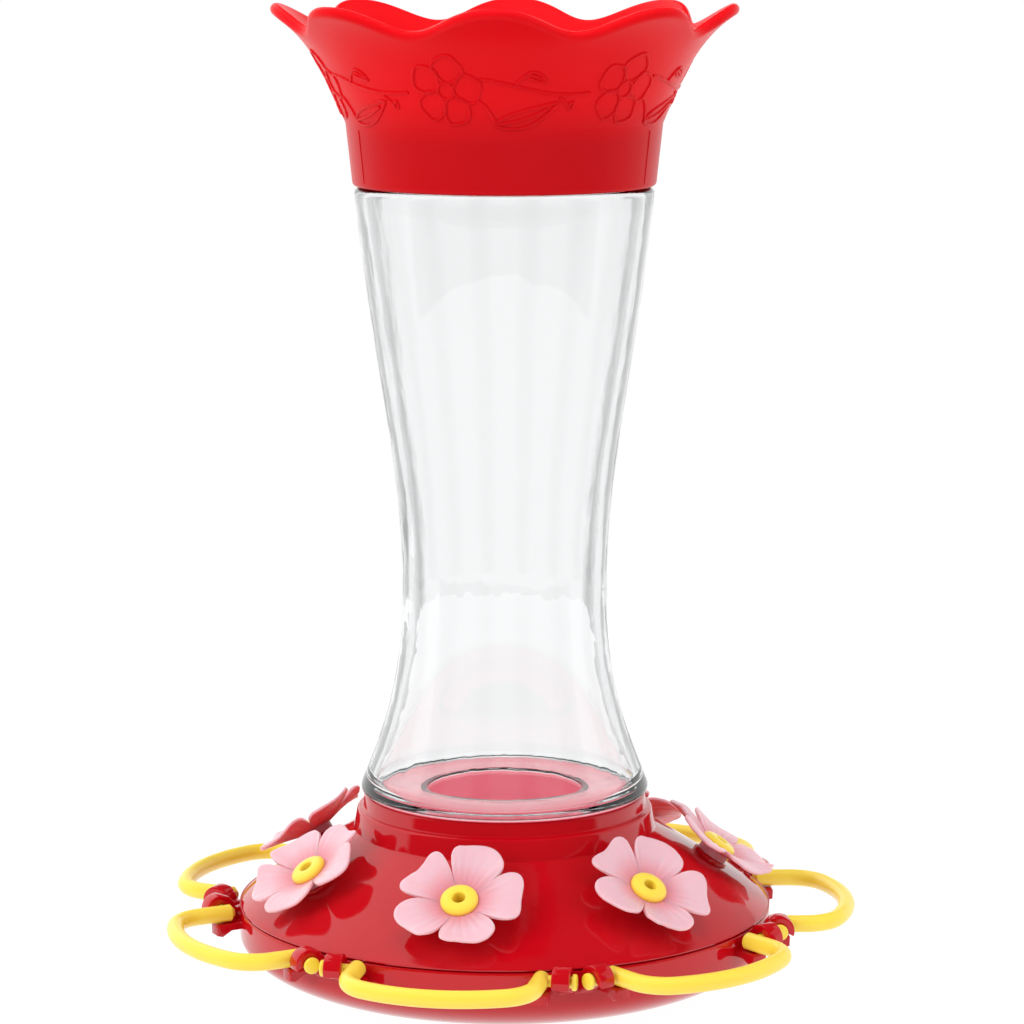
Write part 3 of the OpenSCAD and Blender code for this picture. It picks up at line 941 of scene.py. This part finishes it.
# %% [markdown]
# ## The perches
# A perch is one bent yellow rod: two straight leads, two round corners and a long front bow. Its ends are
# cut square with a small chamfer, and from each end a thin journal runs sideways through a hook to a
# small flange. A rod that follows a path is a curve swept by a circle. Curve to Mesh does it, with a
# radius along the curve for the chamfer.

# %% The path of a rod
perch_reach = 22.6
lead_l = 2.4
chamfer = 1.2
corner_r = 11
bow_r = 45
corner_x = lead_x - corner_r
corner_y = perch_reach - bow_r + math.sqrt((bow_r - corner_r) ** 2 - corner_x ** 2)
corner_turn = math.degrees(math.atan2(corner_y - perch_reach + bow_r, corner_x))


def rod_path():
    """Middle line of half a rod and its mirror image, outwards along -y."""
    lead = [(lead_x, lead_l - part * chamfer) for part in (0, 2 / 3, 1, 1.5)]
    corner = arc(corner_x, -corner_y, corner_r, 0, -corner_turn, 14)
    bow = arc(0, bow_r - perch_reach, bow_r, -corner_turn, -90, 18)[1:]
    half = lead + corner + bow
    return half + [(-x, y) for x, y in half[-2::-1]]


def at_station(turn):
    """Turns a place about the hinge line's middle into one in the feeder, in millimetres."""
    return Matrix.Rotation(turn, 4, "Z") @ Matrix.Translation((0, -hinge_r, hinge_z))


# %% The journals
journal_l = hook_x + hook_w / 2 + 0.3 - lead_x
flange_r = journal_r + 0.7
flange_end = journal_l + 1.2


def journals(turn):
    """Both journals of a perch, each with its flange, along the hinge line."""
    outline = rounded([(0, 0), (journal_r, 0), (journal_r, journal_l, 0.1), (flange_r, journal_l, 0.25),
                       (flange_r, flange_end, 0.35), (0, flange_end)], 3)
    ends = []
    for side in (-1, 1):
        place = at_station(turn) @ Matrix.Translation((side * lead_x, 0, 0))
        place.translation *= MM
        ends.append(turned(outline, 40))
        ends[-1].transform(place @ Matrix.Rotation(side * math.pi / 2, 4, "Y"))
    return ends


# %% A rod swept along its path
def swept(tree, path, resolution, radius):
    """Sweeps a circle along a string of points."""
    line = tree.add("GeometryNodeMeshToCurve", {"Mesh": path})
    circle = tree.add("GeometryNodeCurvePrimitiveCircle", {"Resolution": resolution, "Radius": 1.0})
    return tree.add("GeometryNodeCurveToMesh", {
        "Curve": line, "Profile Curve": circle, "Scale": radius, "Fill Caps": True})


rod_tree, rod_fields = growth("swept_rod", **{"Rod radius": rod_r * MM, "Chamfer": chamfer * MM})
from_end = rod_tree.add("GeometryNodeSplineParameter", out="Length")
whole = rod_tree.add("GeometryNodeSplineLength", out="Length")
drawn_in = (rod_fields["Chamfer"] - from_end.math("MINIMUM", whole - from_end)).math("MAXIMUM", 0)
rod = swept(rod_tree, rod_fields["start"], 32, rod_fields["Rod radius"] - drawn_in)
rod = rod_tree.add("GeometryNodeSetShadeSmooth", {"Geometry": rod})
finish_growth(rod_tree, rod, yellow)


def perch(i):
    turn = station_turn(i)
    path = laid([rod_path()], lambda x, y: at_station(turn) @ Vector((x, y, 0)))
    made = grown(f"perch_rod_{i}", path, rod_tree)
    made.data = merged(made.data, *journals(turn))
    made.data.materials.append(yellow)
    sharpened(made.data, 35)
    settle(made, f"perch_{i}", "yellow_plastic", f"perch_{i}")


for i in range(1, stations + 1):
    perch(i)

# %% [markdown]
# ## The crown
# The crown is one bright red cup: a plain skirt that grips the bottle's shoulder, a bell that flares into
# eight lobes, and inside it a moat with the hanging post. Pulling the rim's points by hand would give
# eight lobes of eight shapes. The real ones follow a rule: round the rim, a soft wave decides how far up
# the bell's line the wall reaches, so the lip dips between two lobes and still lies on the same bell. The
# section's points carry how far they lie along the wall, and a node tree turns that into places.

# %% Sizes of the crown
skirt_r = 43.1
bell_z = crown_z + 18.2
bell_h = 33
bell_foot_r = skirt_r + 2
crown_r = 66.2
crown_wall = 2.6
moat_z = stub_z + 2.3
moat_top = moat_z + 2.6
crown_socket_r = stub_r + 0.3
crown_socket_out = crown_socket_r + 2.8
lip_swell = 0.25
swell_from = 0.72
lip_half = crown_wall / 2 * (1 + lip_swell)

bell_middle = curve((bell_foot_r - 1.3, bell_z), (bell_foot_r + 3.1, bell_z + 0.32 * bell_h),
                    (bell_foot_r + 7.4, bell_z + 0.67 * bell_h + 0.6),
                    (crown_r - lip_half, crown_top - lip_half), 40)


# %% The crown's section
def bell_stretch(side, steps=34):
    """Places along the wall from 0 at the bell's foot to 1 at its lip, on one side of the middle line."""
    return [(k / steps, side, 0.0) for k in range(steps + 1)]


def lip_stretch(steps=8):
    """The rolled lip: half a turn round the end of the middle line."""
    return [(1.0, x, y) for x, y in arc(0, 0, 1, 0, 180, steps)[1:-1]]


def crown_section():
    """The closed section: fixed corners as (radius, height), and bell points as (along, side, beyond)."""
    socket = [(0, moat_z), (crown_socket_r, moat_z, 0.3), (crown_socket_r, crown_z + 2, 0.3),
              (crown_socket_out, crown_z + 2, 0.6), (crown_socket_out, moat_z, 0.5)]
    skirt = [(skirt_r - crown_wall + 0.6, moat_z, 0.5), (skirt_r - crown_wall, crown_z, 0.3),
             (skirt_r, crown_z, 1.2)]
    below = rounded(socket + skirt + [(bell_foot_r, bell_z), (0, bell_z)])[:-2]
    inner_r = bell_foot_r - crown_wall
    floor = rounded([(inner_r, bell_z), (inner_r, moat_top, 1.6), (0, moat_top)])[1:]
    return below, bell_stretch(1.0) + lip_stretch() + bell_stretch(-1.0)[::-1], floor


# %% The crown before its lobes
point_values = ("along", "side", "beyond", "fixed", "turn")


def crown_start(steps=384):
    """The section's points all the way round, before the bell's points know their places."""
    below, bell, floor = crown_section()
    rows = [(r, z, 0, 0, 0, 1) for r, z in below] + [(0, 0, *b, 0) for b in bell]
    rows += [(r, z, 0, 0, 0, 1) for r, z in floor]
    form = bmesh.new()
    layers = [form.verts.layers.float.new(name) for name in point_values]
    rings = []
    for r, z, along, side, beyond, fixed in rows:
        pole = fixed and r == 0
        ring = []
        for k in range(1 if pole else steps):
            angle = math.tau * k / steps
            vertex = point(form, r, angle, z)
            for layer, value in zip(layers, (along, side, beyond, fixed, angle)):
                vertex[layer] = value
            ring.append(vertex)
        rings.append(ring * steps if pole else ring)
    skin(form, rings)
    return finished(form, "crown_start", outwards=False)


# %% [markdown]
# ### The lobes
# `Sample Curve` gives the place and the direction at any share of the middle line. The wave round the rim
# shortens that share: at the middle of a scallop the wall stops earlier. Close to the skirt nothing
# changes, because there the share is zero.

# %% How deep a scallop cuts
lobes = 8
scallop_d = 6.2
first_scallop = -25.2
blunter_lobes = 1.15


def share_at_height(height):
    """Share of the bell's middle line at which it reaches a height."""
    steps = [math.dist(a, b) for a, b in zip(bell_middle, bell_middle[1:])]
    for k, (below, above) in enumerate(zip(bell_middle, bell_middle[1:])):
        if below[1] <= height <= above[1]:
            part = (height - below[1]) / (above[1] - below[1])
            return (sum(steps[:k]) + part * steps[k]) / sum(steps)


cut = 1 - share_at_height(crown_top - lip_half - scallop_d)
print(f"a scallop takes {100 * cut:.0f} % of the bell's line")

# %% The lobes grow on the bell
tree, fields = growth("lobes_on_the_bell", **{
    "Lobes": lobes, "First scallop": math.radians(first_scallop - 90), "Cut": cut,
    "Half wall": crown_wall / 2 * MM, "Lip": lip_swell})
bell_line = source(tree, "bell_line", laid([bell_middle], lambda r, z: (r, 0, z)))
bell_line = tree.add("GeometryNodeMeshToCurve", {"Mesh": bell_line})
along, side, beyond, fixed, turn = [kept_value(tree, name) for name in point_values]
wave = 0.5 + 0.5 * ((turn - fields["First scallop"]) * fields["Lobes"]).math("COSINE")
reach = 1 - fields["Cut"] * wave ** blunter_lobes
sampled = tree.add("GeometryNodeSampleCurve", {"Curves": bell_line, "Factor": along * reach}, "Position",
                   mode="FACTOR")
middle_r = tree.add("ShaderNodeSeparateXYZ", {"Vector": sampled})
slope_r = tree.add("ShaderNodeSeparateXYZ", {"Vector": tree.other(sampled, "Tangent")})
middle_z, slope_z = tree.other(middle_r, "Z"), tree.other(slope_r, "Z")
near_lip = (along - swell_from).math("MAXIMUM", 0) / (1 - swell_from)
thick = fields["Half wall"] * (1 + fields["Lip"] * near_lip * near_lip)
radius = middle_r + slope_z * side * thick + slope_r * beyond * thick
height = middle_z - slope_r * side * thick + slope_z * beyond * thick
bell_place = tree.add("ShaderNodeCombineXYZ", {
    "X": radius * turn.math("COSINE"), "Y": radius * turn.math("SINE"), "Z": height})
on_the_bell = (1 - fixed).math("GREATER_THAN", 0.5)
shaped = tree.add("GeometryNodeSetPosition", {
    "Geometry": fields["start"], "Selection": on_the_bell, "Position": bell_place})
finish_growth(tree, shaped, bright_red)
crown = grown("scalloped_crown", crown_start(), tree)

# %% The crown's faces turned outwards
for name in point_values:
    crown.data.attributes.remove(crown.data.attributes[name])
form = bmesh.new()
form.from_mesh(crown.data)
bmesh.ops.recalc_face_normals(form, faces=form.faces)
form.to_mesh(crown.data)
form.free()
sharpened(crown.data)
settle(crown, "crown", "bright_red_plastic", "crown")

# %% [markdown]
# ### The floral relief
# A band of flowers, vines and leaves runs round the bell. Its lines stand half a millimetre proud. A bump
# would show them from the front, but not at the bell's outline nor in the mesh, so they are real lines.
# One part of the pattern is drawn as strokes on a flat strip, and a short function lays them on the bell.
# The tree sweeps each stroke with a thin round profile and repeats the set at equal turns.

# %% Kinds of stroke
relief_petals = 5


def swirl(a, z, size, turns, start):
    """A curl that winds inwards round a place."""
    steps = int(14 * turns)
    curl = [(size * (1 - 0.8 * k / steps), math.radians(start) + math.tau * turns * k / steps)
            for k in range(steps + 1)]
    return [(a + r * math.cos(angle), z + r * math.sin(angle)) for r, angle in curl]


def blossom(a, z, lean, steps=26):
    """Five round petals about a small ring. Each starts at the ring, goes round a wavy lobe and back."""
    drawn = []
    for petal in range(relief_petals):
        lobe = [(-0.8, 2.3)]
        for k in range(steps + 1):
            t = math.radians(-146 + 292 * k / steps)
            wide = 1 + 0.06 * math.cos(4 * t + petal)
            lobe.append((3.9 * wide * math.sin(t), 6.2 + 3.6 * wide * math.cos(t)))
        lobe.append((0.8, 2.3))
        middle = math.radians(lean) + math.tau * petal / relief_petals
        c, s = math.cos(middle), math.sin(middle)
        drawn.append([(a + x * c + y * s, z - x * s + y * c) for x, y in lobe])
    return drawn + [arc(a, z, 2.3, 0, 360, 20)]


def leaf(start, end, width, bend, steps=16):
    """Mid vein and outline of a leaf between two places."""
    (a1, z1), (a2, z2) = start, end
    length = math.hypot(a2 - a1, z2 - z1)
    na, nz = (z1 - z2) / length, (a2 - a1) / length
    vein, sides = [], ([], [])
    for k in range(steps + 1):
        t = k / steps
        arch = bend * math.sin(math.pi * t)
        here = (a1 + (a2 - a1) * t + na * arch, z1 + (z2 - z1) * t + nz * arch)
        vein.append(here)
        half = width / 2 * math.sin(math.pi * t ** 0.8) ** 0.8 if 0 < k < steps else 0
        for side, line in zip((-1, 1), sides):
            line.append((here[0] + side * na * half, here[1] + side * nz * half))
    return [vein[:-3], sides[0] + sides[1][-2::-1]]


# %% Strokes of one repeat
# Places are in millimetres: along the bell from the flower's middle, and above the middle of the band
strokes = [
    *blossom(0, 0, 12),
    curve((9.6, 3.4), (17, 3.0), (27, -2.5), (40.6, -0.6)),
    curve((13.5, -8.4), (12, -5), (10, -3), (8.6, -2.6)),
    *leaf((13.5, -9.2), (31.5, -3.2), 4.6, -1.2),
    *leaf((22.0, 4.6), (27.5, 2.4), 2.2, 0.4),
    curve((19, 1.4), (20, 2.8), (21, 4.2), (22.2, 4.6)),
    swirl(35.5, -4.4, 1.3, 1.0, 60),
    curve((31.5, -1.9), (33, -2.6), (34, -3.4), (34.8, -5.2))]


def dense(stroke, step=0.7):
    """More points along a stroke, so that it can follow the bell's curve."""
    points = [stroke[0]]
    for a, b in zip(stroke, stroke[1:]):
        parts = max(1, round(math.dist(a, b) / step))
        points += [(a[0] + (b[0] - a[0]) * k / parts, a[1] + (b[1] - a[1]) * k / parts)
                   for k in range(1, parts + 1)]
    return points


# %% Strokes laid on the bell
repeats = 6
relief_turn = -18.5
relief_z = bell_z + 10.6
relief_line_r = 0.55
relief_sunk = 0.12


def bell_face(z):
    """Radius of the bell's outer face at a height."""
    for (r1, z1), (r2, z2) in zip(bell_middle, bell_middle[1:]):
        steep = math.hypot(r2 - r1, z2 - z1)
        lift = crown_wall / 2 * (r2 - r1) / steep
        if z1 - lift <= z <= z2 - lift + 0.2:
            part = max(0, min(1, (z + lift - z1) / (z2 - z1)))
            return r1 + (r2 - r1) * part + crown_wall / 2 * (z2 - z1) / steep
    return crown_r


def round_the_axis(r, angle, z):
    """A place at a radius and a height, with the angle from the front towards +X."""
    return r * math.sin(angle), -r * math.cos(angle), z


def on_bell(along, up):
    z = relief_z + up
    angle = along / bell_face(relief_z) + math.radians(relief_turn)
    return round_the_axis(bell_face(z) - relief_sunk, angle, z)


tree, fields = growth("relief_round_the_bell", **{"Repeats": repeats, "Line radius": relief_line_r * MM})
lines = swept(tree, fields["start"], 8, fields["Line radius"])
lines = tree.add("GeometryNodeSetShadeSmooth", {"Geometry": lines})
finish_growth(tree, ring_of(tree, lines, fields["Repeats"], 0.0), bright_red)
relief = grown("floral_relief", laid([dense(stroke) for stroke in strokes], on_bell), tree)
settle(relief, "crown", "bright_red_plastic")

# %% Parting lines
# Where the two halves of the crown's mould met, a fine ridge runs up the skirt on each side
parting_turn = 64.5
parting_l = 15
parting_line_r = 0.25
parting_sunk = 0.08
ridges = [[(side * parting_turn, crown_z + 1.5 + k) for k in range(parting_l + 1)] for side in (-1, 1)]


def on_skirt(degrees, z):
    r = skirt_r + (bell_foot_r - skirt_r) * (z - crown_z) / (bell_z - crown_z)
    return round_the_axis(r - parting_sunk, math.radians(degrees), z)


tree, fields = growth("parting_lines", **{"Line radius": parting_line_r * MM})
finish_growth(tree, swept(tree, fields["start"], 8, fields["Line radius"]), bright_red)
settle(grown("parting_ridges", laid(ridges, on_skirt), tree), "crown", "bright_red_plastic")

# %% [markdown]
# ### The hanging post
# A hook or a cord goes through an eye inside the crown, so that rain and nectar stay away from it. The
# post is one moulding with the crown. It could be joined to it with a Boolean, but it is hidden down in
# the moat, so a turned cone and a pierced disc, sunk a little into the floor, look the same and cost
# nothing.

# %% Post and eye
eye_r = 3.5
eye_wall = 4.6
eye_half = 2.5
eye_z = crown_top - scallop_d - eye_r - 5.6
post_foot_r = 9
post_top_r = 6
post_top = eye_z - 4
post = turned(rounded([(0, moat_top - 1), (post_foot_r, moat_top - 1), (post_foot_r, moat_top, 0.3),
                       (post_top_r, post_top, 1.5), (0, post_top)]), 64)
disc = turned(rounded([(eye_r, -eye_half, 0.7), (eye_r + eye_wall, -eye_half, 0.8),
                       (eye_r + eye_wall, eye_half, 0.8), (eye_r, eye_half, 0.7)]), 64)
disc.transform(Matrix.Translation((0, 0, eye_z * MM)) @ Matrix.Rotation(math.pi / 2, 4, "X"))
settle(piece("hanging_post", sharpened(merged(post, disc)), bright_red), "crown", "bright_red_plastic")

# %% [markdown]
# ## The seals
# The three silicone rings are simple shapes that the solids already have, so they stay as they are and
# only take a finish. The ring under the bottle's mouth shows through the glass, where nothing but red is
# seen, so it is red.

# %% Rings of silicone
# The gasket under the mouth takes the cover's finish, so it has the same painted glow of light through the
# glass.
seals = {"base_seal": seal_rubber, "bottle_gasket": lit_red, "crown_gasket": seal_rubber}
for name, finish in seals.items():
    ring_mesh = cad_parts[name].data
    ring_mesh.materials.clear()
    ring_mesh.materials.append(finish)
    print(f"{name}: {finish.name}")

# %% [markdown]
# ## Floor, light and camera
# The feeder stands on a pale floor under soft studio light. The camera stands about a metre away with a
# long lens, tilted down by nine degrees. A wide white floor would be the plain choice, but through the
# glass it would hide the edges of the bottle. The floor is a disc just large enough for the camera's
# view, and it glows a little, so that it is as white as the sky behind it and its edge doesn't show.

# %% Floor
floor_r = 0.6
floor_grey = 0.08
floor_glow = 0.98
floor_mesh = bpy.data.meshes.new("floor")
floor_mesh.from_pydata([(x, y, 0) for x, y in arc(0, 0, floor_r, 0, 360, 96)[:-1]], [], [range(96)])
floor_finish, floor_tree, floor_shader = new_material("pale_floor")
dress(floor_tree, floor_shader, Base_Color=(floor_grey, floor_grey, floor_grey, 1), Roughness=0.7,
      Specular_IOR_Level=0.1, Emission_Color=(1, 1, 1, 1), Emission_Strength=floor_glow)
piece("floor", floor_mesh, floor_finish)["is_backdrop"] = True


# %% Light
def softbox(name, place, aim, size, watts):
    """A soft lamp that doesn't show in the gloss or through the glass."""
    lamp = bpy.data.lights.new(name, "AREA")
    lamp.shape, lamp.size, lamp.size_y = "RECTANGLE", *size
    lamp.energy = watts
    holder = bpy.data.objects.new(name, lamp)
    holder.location = place
    holder.rotation_euler = (Vector(aim) - Vector(place)).to_track_quat("-Z", "Y").to_euler()
    holder.visible_glossy = False
    holder.visible_transmission = False
    bpy.context.scene.collection.objects.link(holder)
    print(f"{name}: {watts} W")


softbox("left_box", (-1.0, -0.7, 0.75), (0, 0, 0.12), (0.7, 1.0), 9)
softbox("right_box", (1.05, -0.5, 0.6), (0, 0, 0.12), (0.6, 0.9), 4)
softbox("top_box", (0.0, -0.1, 1.3), (0, 0, 0.1), (1.1, 0.9), 7)
softbox("back_box", (-0.5, 1.2, 0.8), (0, 0, 0.05), (1.0, 0.8), 8)

# %% [markdown]
# ### The room behind the glass
# In a room that is white all round, clear glass has nothing to show at its edges. A photographer sets
# dark boards between white ones, and hangs white panels where a glossy part should mirror them. Real
# boards would need many more objects, and they would shade the lamps, so the world does it. What the eye
# sees directly is white. What is seen through glass has soft dark bands between the white ones. What the
# glossy red mirrors is dark towards the camera, and has a low white sweep and two panels behind the
# feeder. What only lights the feeder is an even grey.

# %% Sizes of the room
dark_boards = 8
glass_level = 1.02
board_dark = 0.55
room_grey = 0.55
gloss_grey = 0.08
left_light = 1.1
right_light = 0.6


# %% World
def studio():
    world = bpy.data.worlds.new("studio")
    world.use_nodes = True
    world.node_tree.nodes.clear()
    tree = Tree(world.node_tree)
    seen_directly = tree.add("ShaderNodeLightPath", out="Is Camera Ray")
    through_glass = tree.other(seen_directly, "Is Transmission Ray")
    in_gloss = tree.other(seen_directly, "Is Glossy Ray")
    x = tree.add("ShaderNodeSeparateXYZ", {"Vector": tree.add("ShaderNodeTexCoord", out="Generated")})
    y, z = tree.other(x, "Y"), tree.other(x, "Z")
    band = (x.math("ARCTAN2", y) * dark_boards).math("COSINE")
    board = ramp(tree, 0.5 - 0.5 * band, 0.45, 0.95) * ramp(tree, z, -0.30, -0.24)
    sweep = 1 - ramp(tree, z, 0.30, 0.36)
    left_panel = left_light * (1 - ramp(tree, x, -0.20, -0.16)) * (1 - ramp(tree, z, 0.93, 0.95))
    right_panel = right_light * ramp(tree, x, 0.40, 0.46) * (1 - ramp(tree, z, 0.68, 0.74))
    panels = sweep.math("MAXIMUM", left_panel.math("MAXIMUM", right_panel)) * ramp(tree, y, -0.25, -0.15)
    unseen = room_grey + in_gloss * (gloss_grey + panels - room_grey)
    unseen = unseen + through_glass * (glass_level - board_dark * board - unseen)
    strength = unseen + seen_directly * (1 - unseen)
    tree.add("ShaderNodeOutputWorld", {
        "Surface": tree.add("ShaderNodeBackground", {"Color": (1, 1, 1, 1), "Strength": strength})})
    return world


bpy.context.scene.world = studio()
bpy.context.scene.view_settings.view_transform = "Standard"

# %% Camera
camera_tilt = 9.2
camera_data = bpy.data.cameras.new("camera")
camera_data.sensor_width, camera_data.lens = 36, 130.08
camera_data.clip_start, camera_data.clip_end = 0.05, 50
camera = bpy.data.objects.new("camera", camera_data)
camera.location = (0.00216, -1.0523, 0.3058)
camera.rotation_euler = (math.radians(90 - camera_tilt), 0, 0)
bpy.context.scene.collection.objects.link(camera)
bpy.context.scene.camera = camera
print(f"camera {-camera.location.y:.2f} m in front, tilted down {camera_tilt} degrees")

# %% Put the trees' sources away
for spare in sources:
    bpy.data.objects.remove(spare)

# %% Sizes kept for comparison
dressed_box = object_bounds()
for name, box in (("solids", solid_box), ("dressed", dressed_box)):
    print(f"{name}: {[[round(v / MM, 1) for v in corner] for corner in box]}")
